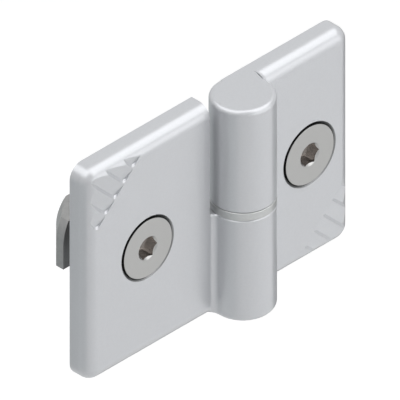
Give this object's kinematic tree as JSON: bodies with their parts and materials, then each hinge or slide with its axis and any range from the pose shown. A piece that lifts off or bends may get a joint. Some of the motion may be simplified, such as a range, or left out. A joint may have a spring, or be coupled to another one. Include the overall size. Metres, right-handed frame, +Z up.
{
  "type": "lift-off hinge",
  "caption": "Lift-off hinge with rounded leaves of unequal width, stacked knuckles on a pin, and a countersunk screw with a hammer nut in each leaf.",
  "frame": {"origin": "on the mounting plane of the leaves, straight behind the pin, at mid height", "axes": "+X towards the leaf that lifts off, -Y to the front, +Z up along the pin"},
  "size_m": [0.0651, 0.0234, 0.045],
  "materials": {
    "leaf_coat": "smooth light grey powder coat with a soft gloss",
    "pin_steel": "ground steel",
    "washer_steel": "satin stainless steel",
    "bush_plastic": "dark bearing plastic",
    "screw_steel": "turned stainless steel",
    "nut_steel": "zinc-plated steel"
  },
  "bodies": {
    "frame_side": {"fixed_leaf": "leaf_coat", "hinge_pin": "pin_steel", "thrust_washer": "washer_steel", "fixed_leaf_screw": "screw_steel", "fixed_leaf_nut": "nut_steel"},
    "bush": {"bearing_bush": "bush_plastic"},
    "door_side": {"swing_leaf": "leaf_coat", "swing_leaf_screw": "screw_steel", "swing_leaf_nut": "nut_steel"}
  },
  "joints": [
    {"name": "swing", "type": "hinge", "parent": "frame_side", "child": "bush", "pos_m": [0, -0.0055, 0], "axis": [0, 0, -1], "range_deg": [0, 180]},
    {"name": "lift", "type": "slide", "parent": "bush", "child": "door_side", "axis": [0, 0, 1], "range_m": [0, 0.02]}
  ]
}
